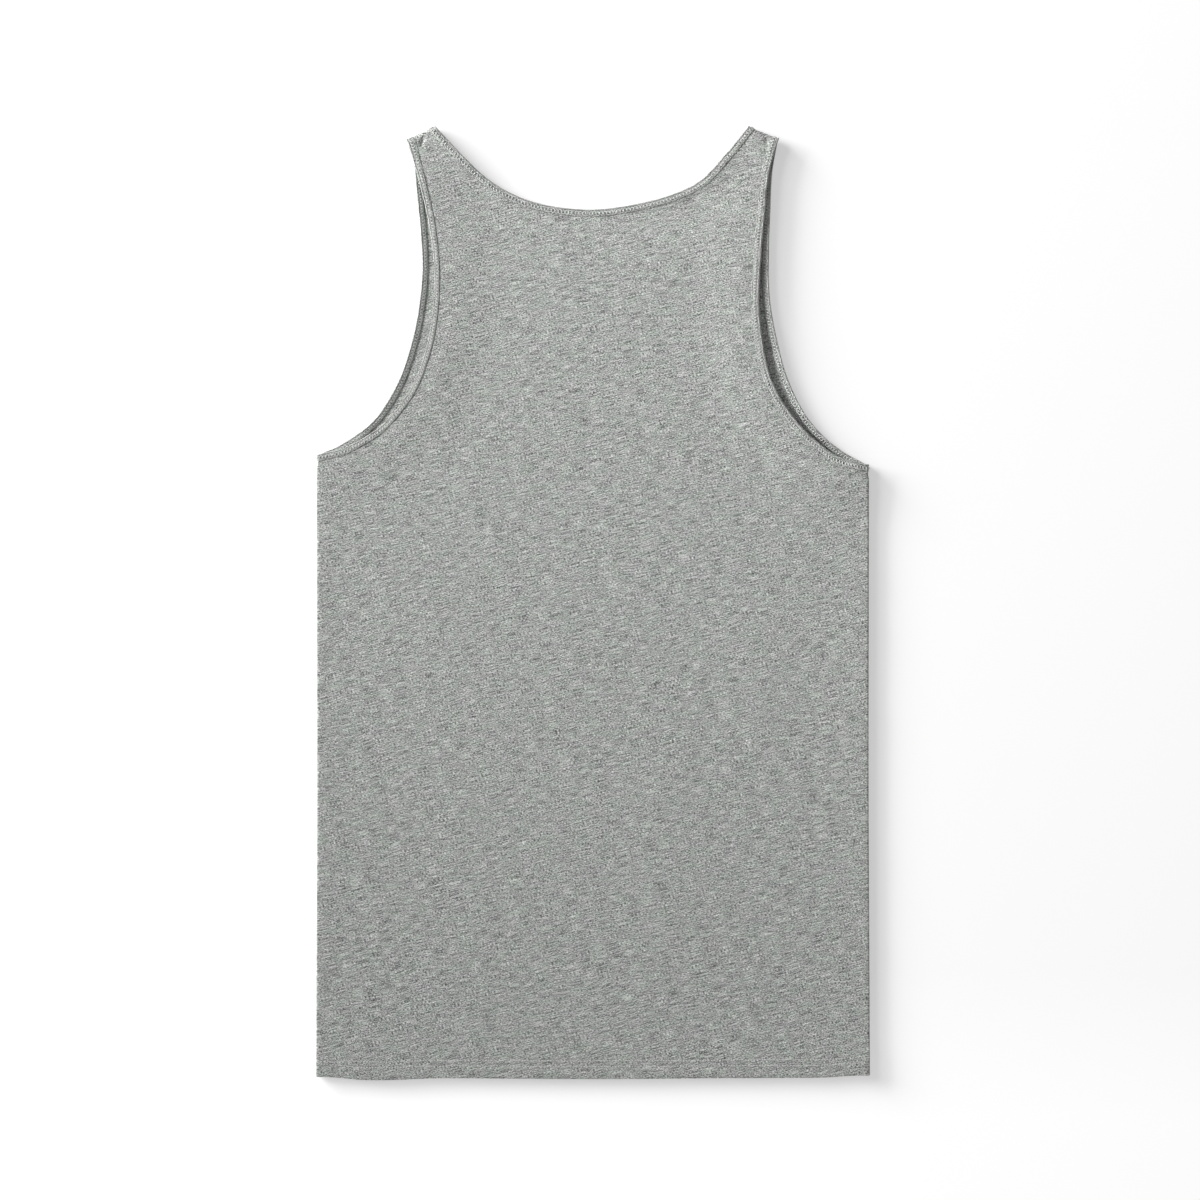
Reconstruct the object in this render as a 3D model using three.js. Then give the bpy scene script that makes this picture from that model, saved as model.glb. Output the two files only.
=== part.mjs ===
// A sleeveless jersey tank top, laid flat on its front with the back uppermost.
// Millimetres. +Y runs from the hem to the shoulders, +Z is up, and the cloth rests on z = 0.
// Each cut piece is a wall of even thickness: two panels, and three bindings that are closed rings.

import * as THREE from 'three';

// Cloth and seams
const clothWall = 1.0; // one layer of jersey
const seamGap = 0.3; // air between two pieces that are sewn together
const layerStep = clothWall + seamGap; // from the middle of one layer to the middle of the next
const boundHalf = layerStep + clothWall / 2; // half the height of a bound edge, which is three layers
const rawEdgeInset = 2.0; // a panel's raw edge stops this far inside the fold of its binding
const bindingRelease = 0.5; // a panel stays level this far past its binding
const bindingEase = 2.5; // and has begun to settle this far past it
const hemDepth = 16.4; // the turned hem
const hemTurn = layerStep / 2; // radius of the hem's fold, in the middle of the layer

// Heights of the middle of a layer over the floor
const frontLevel = clothWall / 2;
const frontBoundLevel = boundHalf;
const backLevel = frontLevel + layerStep;
const backOverNeckLevel = 2 * boundHalf + seamGap + clothWall / 2 + 0.1;
const backBoundLevel = 3 * boundHalf + seamGap;
const backSideLevel = 3.5;
const backHemLevel = frontLevel + 3 * layerStep;

// The shoulder folds: where the edges cross the line on which the cloth starts to turn over.
const shoulders = {
  left: { outer: { x: -150.3, y: 373.3 }, neck: { x: -125.8, y: 385.0 } },
  right: { outer: { x: 149.9, y: 374.2 }, neck: { x: 123.9, y: 384.6 } },
};
const frontNeckSet = 2.0; // the front neckline leaves the shoulder this much nearer the armhole

// The necklines between the shoulders, from left to right.
const backNeckRows = [
  { x: -105.6, y: 363.5 },
  { x: -88.5, y: 347.3 },
  { x: -68.2, y: 334.2 },
  { x: -41.4, y: 324.6 },
  { x: 0.0, y: 320.2 },
  { x: 41.4, y: 326.0 },
  { x: 68.2, y: 333.9 },
  { x: 88.5, y: 344.6 },
  { x: 106.4, y: 363.5 },
];
const frontNeckRows = [
  { x: -121.5, y: 350.0 },
  { x: -111.0, y: 310.0 },
  { x: -92.0, y: 281.0 },
  { x: -63.0, y: 262.5 },
  { x: 0.0, y: 250.6 },
  { x: 63.0, y: 262.5 },
  { x: 92.0, y: 281.0 },
  { x: 110.5, y: 310.0 },
  { x: 120.5, y: 350.0 },
];

// The front's armhole edges from shoulder to underarm, and how far the back's edge lies inside them.
const armholeRows = {
  left: [
    { ...shoulders.left.outer, reveal: 0.0 },
    { x: -145.8, y: 357.0, reveal: 0.5 },
    { x: -143.4, y: 334.3, reveal: 4.2 },
    { x: -140.5, y: 305.0, reveal: 7.7 },
    { x: -138.9, y: 270.9, reveal: 10.0 },
    { x: -142.2, y: 236.8, reveal: 12.0 },
    { x: -148.7, y: 207.5, reveal: 12.9 },
    { x: -159.2, y: 178.3, reveal: 11.7 },
    { x: -177.9, y: 149.1, reveal: 7.4 },
    { x: -203.9, y: 129.6, reveal: 3.6 },
    { x: -222.2, y: 121.3, reveal: 0.0 },
  ],
  right: [
    { ...shoulders.right.outer, reveal: 0.0 },
    { x: 145.7, y: 350.0, reveal: 2.5 },
    { x: 144.1, y: 318.0, reveal: 4.3 },
    { x: 143.0, y: 285.0, reveal: 6.1 },
    { x: 143.7, y: 248.3, reveal: 8.8 },
    { x: 149.6, y: 214.0, reveal: 11.8 },
    { x: 158.2, y: 182.9, reveal: 12.8 },
    { x: 172.2, y: 154.2, reveal: 9.3 },
    { x: 187.0, y: 136.3, reveal: 7.0 },
    { x: 202.5, y: 123.9, reveal: 5.8 },
    { x: 221.8, y: 113.2, reveal: 0.0 },
  ],
};

// How wide each binding shows on the two layers.
const bindingWidths = {
  neck: { back: 6.0, front: 6.0 },
  left: { back: 5.6, front: 5.6 },
  right: { back: 6.5, front: 6.0 },
};

// The outer faces of the side folds, and the lowest line of the hem.
const sideRows = [
  { y: -384.0, left: -225.0, right: 225.0 },
  { y: -130.0, left: -224.3, right: 224.0 },
  { y: 112.0, left: -224.7, right: 224.3 },
];
const hemRows = [
  { x: -222.0, y: -384.6 },
  { x: -178.0, y: -387.5 },
  { x: -120.0, y: -385.8 },
  { x: 0.0, y: -386.5 },
  { x: 110.0, y: -385.8 },
  { x: 180.0, y: -385.4 },
  { x: 222.0, y: -383.4 },
];

// Broad, faint rises that run down the back where it was smoothed out by hand.
const softFolds = [
  { x: -92.0, halfWidth: 30.0, top: -70.0, bottom: -320.0, rise: 0.5 },
  { x: -5.0, halfWidth: 22.0, top: -90.0, bottom: -310.0, rise: 0.6 },
  { x: 68.0, halfWidth: 24.0, top: -80.0, bottom: -330.0, rise: 0.5 },
  { x: 158.0, halfWidth: 26.0, top: 40.0, bottom: -210.0, rise: 0.6 },
  { x: -168.0, halfWidth: 24.0, top: 90.0, bottom: -190.0, rise: 0.5 },
];
const foldFade = 60.0; // length over which a soft fold dies out at each end

// Cells in each panel. The two base shares say where a strap starts along the neckline and armhole.
const panelCells = {
  back: {
    strapRows: 5,
    strapColumns: 3,
    neckColumns: 14,
    armholeRows: 14,
    neckBase: 0.22,
    armholeBase: 0.15,
  },
  front: {
    strapRows: 7,
    strapColumns: 2,
    neckColumns: 12,
    armholeRows: 11,
    neckBase: 0.26,
    armholeBase: 0.33,
  },
};
const sideHeights = [0, 19, 36, 90, 150, 210, 270, 330, 385, 425, 455, 475]; // rows over the hem
const foldSteps = 6; // straight facets in a half turn
const axisEase = 26.0; // an edge's cross direction swings round to the fold's over this length

// How far from an edge a layer stays raised, and over what length it comes down again.
const settling = {
  frontArmhole: { hold: 10, run: 14 },
  frontNeck: { hold: 9, run: 14 },
  backBound: { hold: 4, run: 24 }, // past the back's own binding
  backOverNeck: { hold: 16, run: 18 },
  shoulder: { hold: 4, run: 26 },
  side: { hold: 4, run: 18 },
  hem: { hold: 4, run: 16 }, // past the turned hem
};
const neckClimb = { from: 322.0, to: 376.0 }; // where the back's neckline rises from floor to shoulder

const jersey = { color: 0xa1a29e, roughness: 0.95, metalness: 0.0 };

const at = (x, y, z = 0) => new THREE.Vector3(x, y, z);
const straightUp = at(0, 0, 1);
const straightDown = at(0, 0, -1);
const { lerp, smoothstep } = THREE.MathUtils;

// 1 up to the distance hold, then a smooth fall to 0 over the length run.
const fade = (distance, { hold = 0, run }) => 1 - smoothstep(distance, hold, hold + run);

// Reads a column of a table whose rows are sorted by another column, eased between the rows.
function readTable(rows, key, place, column) {
  const after = Math.max(1, rows.findIndex((row) => row[key] >= place));
  const high = place > rows.at(-1)[key] ? rows.at(-1) : rows[after];
  const low = place > rows.at(-1)[key] ? rows.at(-1) : rows[after - 1];
  return lerp(low[column], high[column], smoothstep(place, low[key], high[key]));
}

function edgeCurve(rows) {
  return new THREE.CatmullRomCurve3(rows.map((row) => at(row.x, row.y)), false, 'centripetal');
}

// Across the cloth from an edge: turn is 1 where the cloth lies left of the edge's direction, else -1.
const acrossCloth = (tangent, turn) => at(-tangent.y * turn, tangent.x * turn);

// The same edge on the back layer, which lies inside the front's by each row's reveal.
function insetRows(rows, turn) {
  const curve = edgeCurve(rows);
  return rows.map((row, index) => {
    const across = acrossCloth(curve.getTangent(index / (rows.length - 1)), turn);
    return { x: row.x + across.x * row.reveal, y: row.y + across.y * row.reveal };
  });
}

// A fold as an edge meets it: along runs across the cloth on the fold's axis, outward away from it.
function shoulderFold(side, from, to) {
  const start = shoulders[side][from];
  const end = shoulders[side][to];
  const along = at(end.x - start.x, end.y - start.y).normalize();
  const outward = at(-along.y, along.x);
  return { along, outward: outward.y > 0 ? outward : outward.negate() };
}

function frontNeckEnd(side) {
  const { neck } = shoulders[side];
  const { along } = shoulderFold(side, 'neck', 'outer');
  return { x: neck.x + along.x * frontNeckSet, y: neck.y + along.y * frontNeckSet };
}

function underarmFold(side) {
  return { along: at(0, -1), outward: at(side === 'left' ? -1 : 1, 0) };
}

// The three bound edges, each with its course on both layers and the folds at its two ends.
const edges = {
  neck: {
    turn: -1,
    back: edgeCurve([shoulders.left.neck, ...backNeckRows, shoulders.right.neck]),
    front: edgeCurve([frontNeckEnd('left'), ...frontNeckRows, frontNeckEnd('right')]),
    startFold: shoulderFold('left', 'neck', 'outer'),
    endFold: shoulderFold('right', 'neck', 'outer'),
  },
};
for (const [side, turn] of [['left', 1], ['right', -1]]) {
  edges[side] = {
    turn,
    back: edgeCurve(insetRows(armholeRows[side], turn)),
    front: edgeCurve(armholeRows[side]),
    startFold: shoulderFold(side, 'outer', 'neck'),
    endFold: underarmFold(side),
  };
}

// Distance in plan from a point to an edge, measured to close samples of its curve.
const samplesPerEdge = 120;
const edgeSamples = {};
for (const [name, edge] of Object.entries(edges)) {
  edgeSamples[name] = {
    back: edge.back.getSpacedPoints(samplesPerEdge),
    front: edge.front.getSpacedPoints(samplesPerEdge),
  };
}
function distanceToEdge(name, layer, x, y) {
  const squares = edgeSamples[name][layer].map((sample) => (sample.x - x) ** 2 + (sample.y - y) ** 2);
  return Math.sqrt(Math.min(...squares));
}
function distanceToShoulder(side, x, y) {
  const { outer, neck } = shoulders[side];
  const line = new THREE.Line3(at(outer.x, outer.y), at(neck.x, neck.y));
  return line.closestPointToPoint(at(x, y), true, at(0, 0)).distanceTo(at(x, y));
}
function distanceToSide(x, y) {
  return Math.min(x - readTable(sideRows, 'y', y, 'left'), readTable(sideRows, 'y', y, 'right') - x);
}
const hemLine = (x) => readTable(hemRows, 'x', x, 'y');

// The back's neckline lies on the floor at its middle and climbs to the height of the shoulder folds.
const neckEdgeLevel = (y) =>
  lerp(frontBoundLevel, backBoundLevel, smoothstep(y, neckClimb.from, neckClimb.to));

function shoulderLift(x, y) {
  const nearest = Math.min(distanceToShoulder('left', x, y), distanceToShoulder('right', x, y));
  return fade(nearest, settling.shoulder);
}

// Height of the middle of the front layer: on the floor, and raised where it enters a binding.
function frontHeight(x, y) {
  const lift = Math.max(
    fade(distanceToEdge('left', 'front', x, y), settling.frontArmhole),
    fade(distanceToEdge('right', 'front', x, y), settling.frontArmhole),
    fade(distanceToEdge('neck', 'front', x, y), settling.frontNeck),
    shoulderLift(x, y),
  );
  return lerp(frontLevel, frontBoundLevel, lift);
}

function softFoldRise(x, y) {
  const rises = softFolds.map((fold) => {
    const across = fade(Math.abs(x - fold.x), { run: fold.halfWidth });
    const below = fade(y - fold.top + foldFade, { run: foldFade });
    const above = fade(fold.bottom + foldFade - y, { run: foldFade });
    return fold.rise * across * below * above;
  });
  return rises.reduce((sum, rise) => sum + rise, 0);
}

// Height of the middle of the back layer, which lies on the front and over all its bound edges.
function backHeight(x, y) {
  const pastBinding = (name) => distanceToEdge(name, 'back', x, y) - bindingWidths[name].back;
  const overArmhole = Math.max(
    fade(pastBinding('left'), settling.backBound),
    fade(pastBinding('right'), settling.backBound),
    shoulderLift(x, y),
  );
  const overNeck = fade(distanceToEdge('neck', 'front', x, y), settling.backOverNeck);
  const atNeck = fade(pastBinding('neck'), settling.backBound);
  const atSide = fade(distanceToSide(x, y), settling.side);
  const atHem = fade(y - hemLine(x) - hemDepth, settling.hem);
  const highest = Math.max(
    lerp(backLevel, backBoundLevel, overArmhole),
    lerp(backLevel, backOverNeckLevel, overNeck),
    lerp(backLevel, neckEdgeLevel(y), atNeck),
    lerp(backLevel, backSideLevel, atSide),
    lerp(backLevel, backHemLevel, atHem),
  );
  return highest + softFoldRise(x, y);
}

const heights = { back: backHeight, front: frontHeight };
const boundLevel = (name, layer, y) => {
  if (layer === 'front') return frontBoundLevel;
  return name === 'neck' ? neckEdgeLevel(y) : backBoundLevel;
};

// Places along an edge, as shares of its length, so that the straps' rows meet the panel's.
function edgeShares(name, layer) {
  const cells = panelCells[layer];
  const spread = (from, to, count) =>
    Array.from({ length: count }, (_, step) => lerp(from, to, step / count));
  if (name === 'neck') {
    return [
      ...spread(0, cells.neckBase, cells.strapRows),
      ...spread(cells.neckBase, 1 - cells.neckBase, cells.neckColumns),
      ...spread(1 - cells.neckBase, 1, cells.strapRows),
      1,
    ];
  }
  return [
    ...spread(0, cells.armholeBase, cells.strapRows),
    ...spread(cells.armholeBase, 1, cells.armholeRows),
    1,
  ];
}

// A station is one place on an edge: its point, the way across the cloth and the way off the body.
function edgeStations(name, layer) {
  const edge = edges[name];
  const curve = edge[layer];
  const length = curve.getLength();
  return edgeShares(name, layer).map((share) => {
    const place = curve.getPointAt(share);
    const across = acrossCloth(curve.getTangentAt(share), edge.turn);
    across.lerp(edge.startFold.along, fade(share * length, { run: axisEase }));
    across.lerp(edge.endFold.along, fade((1 - share) * length, { run: axisEase }));
    place.z = boundLevel(name, layer, place.y);
    const off = layer === 'back' ? straightUp : straightDown;
    return { place, across: across.normalize(), off, width: bindingWidths[name][layer], onFold: false };
  });
}

// Stations round a fold, from the back's end over the half turn to the front's.
function foldStations(backEnd, frontEnd, fold, angles) {
  const radius = (backEnd.place.z - frontEnd.place.z) / 2;
  const middle = (backEnd.place.z + frontEnd.place.z) / 2;
  return angles.map((angle) => {
    const place = backEnd.place.clone().lerp(frontEnd.place, angle / Math.PI);
    place.addScaledVector(fold.outward, radius * Math.sin(angle));
    place.z = middle + radius * Math.cos(angle);
    const off = at(0, 0, Math.cos(angle)).addScaledVector(fold.outward, Math.sin(angle));
    const width = lerp(backEnd.width, frontEnd.width, angle / Math.PI);
    return { place, across: fold.along, off, width, onFold: true };
  });
}

const foldAngles = Array.from({ length: foldSteps - 1 }, (_, step) => (Math.PI * (step + 1)) / foldSteps);

// A panel turns only half way round a fold, and stops short of the other panel at the seam.
function halfFoldAngles(radius, layer) {
  const seamAngle = Math.acos(seamGap / radius);
  const angles = [...foldAngles.slice(0, foldSteps / 2 - 1), seamAngle];
  return layer === 'back' ? angles : angles.map((angle) => Math.PI - angle);
}

const stations = {};
for (const name of Object.keys(edges)) {
  stations[name] = { back: edgeStations(name, 'back'), front: edgeStations(name, 'front') };
}

// Makes a closed mesh of corner points and faces.
function solidGeometry(points, faces) {
  const geometry = new THREE.BufferGeometry();
  const positions = new Float32Array(points.flatMap((point) => [point.x, point.y, point.z]));
  geometry.setAttribute('position', new THREE.BufferAttribute(positions, 3));
  geometry.setIndex(faces.flat());
  geometry.computeVertexNormals();
  return geometry;
}

// The section of a folded strip: over the top, round the raw edge and back underneath.
function bindingSection(width) {
  const inner = boundHalf - clothWall;
  const outside = [90, 45, 0, -45, -90].map((degrees) => {
    const angle = THREE.MathUtils.degToRad(degrees);
    return [boundHalf * (1 - Math.cos(angle)), boundHalf * Math.sin(angle)];
  });
  const channel = [[boundHalf, -inner], [boundHalf - inner, 0], [boundHalf, inner]];
  return [[width, boundHalf], ...outside, [width, -boundHalf], [width, -inner], ...channel, [width, inner]];
}

// A binding is a closed ring: along the back, over one fold, along the front and over the other fold.
function bindingGeometry(name) {
  const { back, front } = stations[name];
  const { startFold, endFold } = edges[name];
  const ring = [
    ...back,
    ...foldStations(back.at(-1), front.at(-1), endFold, foldAngles),
    ...front.toReversed(),
    ...foldStations(back[0], front[0], startFold, foldAngles).toReversed(),
  ];
  const points = [];
  const faces = [];
  const sectionSize = bindingSection(1).length;
  ring.forEach((station, row) => {
    for (const [inset, rise] of bindingSection(station.width)) {
      const point = station.place.clone().addScaledVector(station.across, inset);
      points.push(point.addScaledVector(station.off, rise));
    }
    const here = row * sectionSize;
    const next = ((row + 1) % ring.length) * sectionSize;
    for (let corner = 0; corner < sectionSize; corner += 1) {
      const beside = (corner + 1) % sectionSize;
      const [a, b, c, d] = [here + corner, next + corner, next + beside, here + beside];
      faces.push(...(edges[name].turn > 0 ? [[a, c, b], [a, d, c]] : [[a, b, c], [a, c, d]]));
    }
  });
  return solidGeometry(points, faces);
}

// Collects the middle surface of a panel from patches of cells whose shared borders coincide.
class Sheet {
  points = [];
  cells = [];
  indexOf = new Map();

  pointIndex(point) {
    const key = [point.x, point.y, point.z].map((value) => Math.round(value * 1000)).join();
    if (!this.indexOf.has(key)) {
      this.indexOf.set(key, this.points.length);
      this.points.push(point);
    }
    return this.indexOf.get(key);
  }

  // rows is a grid of points, and its first cell lies level, so it shows which way is up.
  addPatch(rows) {
    const indices = rows.map((row) => row.map((point) => this.pointIndex(point)));
    const alongRow = rows[0][1].clone().sub(rows[0][0]);
    const acrossRows = rows[1][0].clone().sub(rows[0][0]);
    const facesUp = alongRow.cross(acrossRows).z > 0;
    for (let row = 0; row + 1 < rows.length; row += 1) {
      for (let column = 0; column + 1 < rows[row].length; column += 1) {
        const cell = [
          indices[row][column],
          indices[row][column + 1],
          indices[row + 1][column + 1],
          indices[row + 1][column],
        ];
        this.cells.push(facesUp ? cell : cell.toReversed());
      }
    }
  }

  // Gives the surface its thickness: two skins, and a narrow face along every open border.
  thicken(thickness) {
    const normals = this.points.map(() => at(0, 0));
    const sides = new Set();
    for (const cell of this.cells) {
      const [a, b, c, d] = cell.map((index) => this.points[index]);
      const normal = c.clone().sub(a).cross(d.clone().sub(b)).normalize();
      cell.forEach((index, corner) => {
        normals[index].add(normal);
        sides.add(`${index},${cell[(corner + 1) % 4]}`);
      });
    }
    normals.forEach((normal) => normal.normalize());
    const skin = (distance) =>
      this.points.map((point, index) => point.clone().addScaledVector(normals[index], distance));
    const count = this.points.length;
    const faces = this.cells.flatMap(([a, b, c, d]) => [
      [a, b, c],
      [a, c, d],
      [count + a, count + c, count + b],
      [count + a, count + d, count + c],
    ]);
    for (const side of sides) {
      const [from, to] = side.split(',').map(Number);
      if (!sides.has(`${to},${from}`)) {
        faces.push([to, from, count + from], [to, count + from, count + to]);
      }
    }
    return solidGeometry([...skin(thickness / 2), ...skin(-thickness / 2)], faces);
  }
}

// The border of a panel along a bound edge: under the binding, just past it, and where it settles.
function borderRows(edgeStationList, height) {
  return edgeStationList.map((station) => {
    const insets = [rawEdgeInset, station.width + bindingRelease, station.width + bindingEase];
    const row = insets.map((inset) => station.place.clone().addScaledVector(station.across, inset));
    if (!station.onFold) {
      row[2].z = height(row[2].x, row[2].y);
    }
    return row;
  });
}

// Points round the side fold at one height over the hem, from the level cloth to the side seam.
function sideFoldRow(side, layer, y) {
  const sign = side === 'left' ? -1 : 1;
  const outerFace = readTable(sideRows, 'y', y, side);
  const top = backHeight(outerFace, y);
  const bottom = frontHeight(outerFace, y);
  const radius = (top - bottom) / 2;
  const centre = outerFace - sign * (radius + clothWall / 2);
  const start = layer === 'back' ? 0 : Math.PI;
  return [start, ...halfFoldAngles(radius, layer)].map((angle) =>
    at(centre + sign * radius * Math.sin(angle), y, (top + bottom) / 2 + radius * Math.cos(angle)),
  );
}

// Fills the space inside four borders, bottom and top from left to right, left and right from the hem up.
function fillInside(bottom, top, left, right, height) {
  const rise = (point) => (point.y - left[0].y) / (left.at(-1).y - left[0].y);
  const reach = (point) => (point.x - top[0].x) / (top.at(-1).x - top[0].x);
  return left.map((leftPoint, row) =>
    top.map((topPoint, column) => {
      if (row === 0) return bottom[column];
      if (row === left.length - 1) return topPoint;
      if (column === 0) return leftPoint;
      if (column === top.length - 1) return right[row];
      const u = reach(topPoint);
      const v = rise(leftPoint);
      const between = leftPoint.clone().lerp(right[row], u);
      const level = bottom[column].clone().lerp(topPoint, v);
      const corners = bottom[0].clone().lerp(bottom.at(-1), u).lerp(top[0].clone().lerp(top.at(-1), u), v);
      const point = between.add(level).sub(corners);
      point.z = height(point.x, point.y);
      return point;
    }),
  );
}

// Cells that join two lines of points, straight across.
function fillBetween(lineA, lineB, columns, height) {
  return lineA.map((start, row) =>
    Array.from({ length: columns + 1 }, (_, column) => {
      if (column === 0) return start.point;
      if (column === columns) return lineB[row].point;
      const point = start.point.clone().lerp(lineB[row].point, column / columns);
      if (!start.onFold) point.z = height(point.x, point.y);
      return point;
    }),
  );
}

// The hem turns through half a circle to the inside and lies flat against its panel.
function hemRowsBelow(bottom, layer) {
  const inwards = layer === 'back' ? -1 : 1;
  const turned = (angle, depth) =>
    bottom.map((point) =>
      point.clone().add(at(0, depth - hemTurn * Math.sin(angle), inwards * hemTurn * (1 - Math.cos(angle)))),
    );
  const round = [Math.PI / 3, (2 * Math.PI) / 3, Math.PI].map((angle) => turned(angle, 0));
  return [bottom, ...round, turned(Math.PI, hemDepth / 2), turned(Math.PI, hemDepth)];
}

function panelGeometry(layer) {
  const sheet = new Sheet();
  const height = heights[layer];
  const { strapRows, strapColumns, neckColumns } = panelCells[layer];
  const foldRadius = (backBoundLevel - frontBoundLevel) / 2;
  const overFold = foldSteps / 2;
  const halfFold = (name, index, fold) => {
    const ends = [stations[name].back.at(index), stations[name].front.at(index)];
    return foldStations(ends[0], ends[1], fold, halfFoldAngles(foldRadius, layer));
  };

  // Borders along the bound edges, each running on over the folds at its ends.
  const borders = {};
  const settled = {};
  for (const [name, edge] of Object.entries(edges)) {
    const run = [
      ...halfFold(name, 0, edge.startFold).toReversed(),
      ...stations[name][layer],
      ...halfFold(name, -1, edge.endFold),
    ];
    borders[name] = borderRows(run, height);
    settled[name] = run.map((station, row) => ({ point: borders[name][row][2], onFold: station.onFold }));
    sheet.addPatch(borders[name].slice(overFold));
    sheet.addPatch(borders[name].slice(0, overFold + 1).toReversed());
  }

  // Straps between the armhole's border and the neckline's, from their base up over the shoulder.
  const strapLength = overFold + strapRows + 1;
  const neckLine = {
    left: settled.neck.slice(0, strapLength),
    right: settled.neck.slice(-strapLength).toReversed(),
  };
  const strapBase = {};
  for (const side of ['left', 'right']) {
    const outerLine = settled[side].slice(0, strapLength).toReversed();
    const strap = fillBetween(outerLine, neckLine[side].toReversed(), strapColumns, height);
    sheet.addPatch(strap);
    strapBase[side] = strap[0];
  }

  // Side folds, from the armhole's border down to the hem.
  const sideLines = {};
  for (const side of ['left', 'right']) {
    const underarm = settled[side].slice(-overFold - 1).map((entry) => entry.point);
    const hemHeight = hemLine(underarm[0].x) + hemTurn + clothWall / 2;
    const rows = sideHeights.map((over) => sideFoldRow(side, layer, hemHeight + over));
    sheet.addPatch([...rows, underarm]);
    const armhole = settled[side].slice(strapLength - 1, -overFold - 1).map((entry) => entry.point);
    sideLines[side] = [...rows.map((row) => row[0]), underarm[0], ...armhole.toReversed()];
  }

  // The body of the panel, and its hem.
  const neckFrom = strapLength - 1;
  const neckMiddle = settled.neck.slice(neckFrom + 1, neckFrom + neckColumns).map((entry) => entry.point);
  const top = [...strapBase.left, ...neckMiddle, ...strapBase.right.toReversed()];
  const reach = (point) => (point.x - top[0].x) / (top.at(-1).x - top[0].x);
  const bottom = top.map((point, column) => {
    if (column === 0) return sideLines.left[0];
    if (column === top.length - 1) return sideLines.right[0];
    const x = lerp(sideLines.left[0].x, sideLines.right[0].x, reach(point));
    const y = hemLine(x) + hemTurn + clothWall / 2;
    return at(x, y, height(x, y));
  });
  sheet.addPatch(fillInside(bottom, top, sideLines.left, sideLines.right, height));
  sheet.addPatch(hemRowsBelow(bottom, layer));
  return sheet.thicken(clothWall);
}

function namedPiece(name, geometry) {
  const piece = new THREE.Mesh(geometry, new THREE.MeshStandardMaterial(jersey));
  piece.name = name;
  return piece;
}

const tankTop = new THREE.Group();
tankTop.add(
  namedPiece('back_panel', panelGeometry('back')),
  namedPiece('front_panel', panelGeometry('front')),
  namedPiece('neck_binding', bindingGeometry('neck')),
  namedPiece('armhole_binding_left', bindingGeometry('left')),
  namedPiece('armhole_binding_right', bindingGeometry('right')),
);

export default tankTop;
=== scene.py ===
import math

import bpy
import numpy as np
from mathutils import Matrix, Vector


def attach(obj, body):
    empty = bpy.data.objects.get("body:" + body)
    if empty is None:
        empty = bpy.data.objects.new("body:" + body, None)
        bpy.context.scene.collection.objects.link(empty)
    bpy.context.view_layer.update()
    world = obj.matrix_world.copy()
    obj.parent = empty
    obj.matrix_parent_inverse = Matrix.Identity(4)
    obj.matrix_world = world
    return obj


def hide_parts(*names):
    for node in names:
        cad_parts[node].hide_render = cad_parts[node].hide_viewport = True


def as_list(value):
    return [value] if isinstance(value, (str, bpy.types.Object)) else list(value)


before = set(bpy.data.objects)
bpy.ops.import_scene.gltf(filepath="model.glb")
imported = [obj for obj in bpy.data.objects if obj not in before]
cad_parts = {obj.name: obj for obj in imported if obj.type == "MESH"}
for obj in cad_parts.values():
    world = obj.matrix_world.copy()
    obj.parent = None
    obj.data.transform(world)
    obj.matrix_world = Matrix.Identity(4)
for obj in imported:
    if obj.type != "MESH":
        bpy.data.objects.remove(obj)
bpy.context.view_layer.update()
print("frame loaded:", sorted(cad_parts))

# Metres. +Y runs from the hem to the shoulders, +Z is up, and the top lies on its front on z = 0.
# Every edge below is the same edge as in the part's source. The layers are closer here, because
# real jersey is thinner than the solids' walls and sewn layers touch.

cloth = {
    "thickness": 0.0008,  # one layer of jersey
    "air": 0.00005,  # between layers that are sewn together
    "seamGap": 0.00004,  # between the two panels at the side and shoulder seams
    "waviness": 0.00003,  # what is left after the cloth is smoothed out by hand
    "gathers": 0.00014,  # height of the gathers beside a binding
    "gathersRun": 0.009,  # over what length they die away
}
clothHalf = cloth["thickness"] / 2
layerStep = cloth["thickness"] + cloth["air"]
boundHalf = layerStep + clothHalf  # half the height of a bound edge

levels = {  # heights of the middle of a layer
    "front": clothHalf,
    "frontBound": 0.0014,
    "back": 0.0029,
    "backOverNeck": 0.0032,
    "backBound": 0.0048,
    "backSide": 0.0036,
    "neckLow": 0.0021,
    "neckFrom": 0.318,  # the neckline climbs to the shoulders between these two places
    "neckTo": 0.368,
}

shoulders = {
    "left": {"outer": (-0.1503, 0.3733), "neck": (-0.1258, 0.385)},
    "right": {"outer": (0.1499, 0.3742), "neck": (0.1239, 0.3846)},
}
frontNeckSet = 0.002  # the front neckline leaves the shoulder this much nearer the armhole
shoulderReach, underarmReach = 0.0014, -0.0003  # how far a fold goes past a plain half circle

necklines = {
    "back": [
        (-0.1056, 0.3635), (-0.0885, 0.3473), (-0.0682, 0.3342), (-0.0414, 0.3246), (0.0, 0.3202),
        (0.0414, 0.326), (0.0682, 0.3339), (0.0885, 0.3446), (0.1064, 0.3635),
    ],
    "front": [
        (-0.1215, 0.35), (-0.111, 0.31), (-0.092, 0.281), (-0.063, 0.2625), (0.0, 0.2506),
        (0.063, 0.2625), (0.092, 0.281), (0.1105, 0.31), (0.1205, 0.35),
    ],
}

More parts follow.
